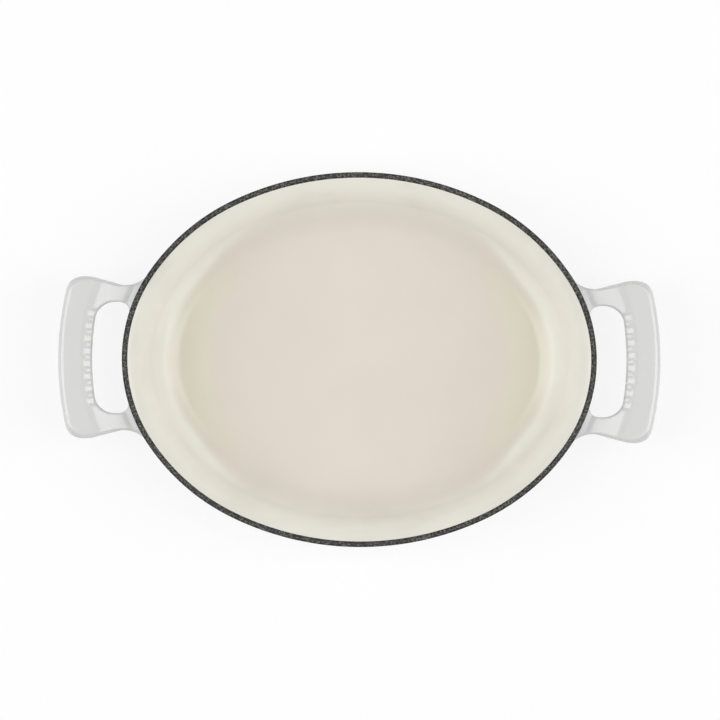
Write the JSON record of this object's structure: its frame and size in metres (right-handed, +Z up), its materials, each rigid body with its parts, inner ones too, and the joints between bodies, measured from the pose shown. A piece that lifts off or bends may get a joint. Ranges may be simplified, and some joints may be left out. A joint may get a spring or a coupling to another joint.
{
  "type": "gratin dish",
  "caption": "Oval enamelled cast-iron gratin dish with sloping walls, a coved floor and two fluted loop handles cast on its ends.",
  "frame": {"origin": "on the surface that the dish stands on, under the middle of the bowl", "axes": "+X along the dish from the middle to one handle, +Y across it, +Z up out of the bowl"},
  "size_m": [0.3566, 0.221, 0.052],
  "materials": {
    "white_enamel": "satin",
    "cream_enamel": "gloss",
    "matt_rim": "matt"
  },
  "bodies": {
    "root": {"iron_casting": "white_enamel", "interior_enamel": "cream_enamel", "rim_enamel": "matt_rim"}
  },
  "joints": []
}
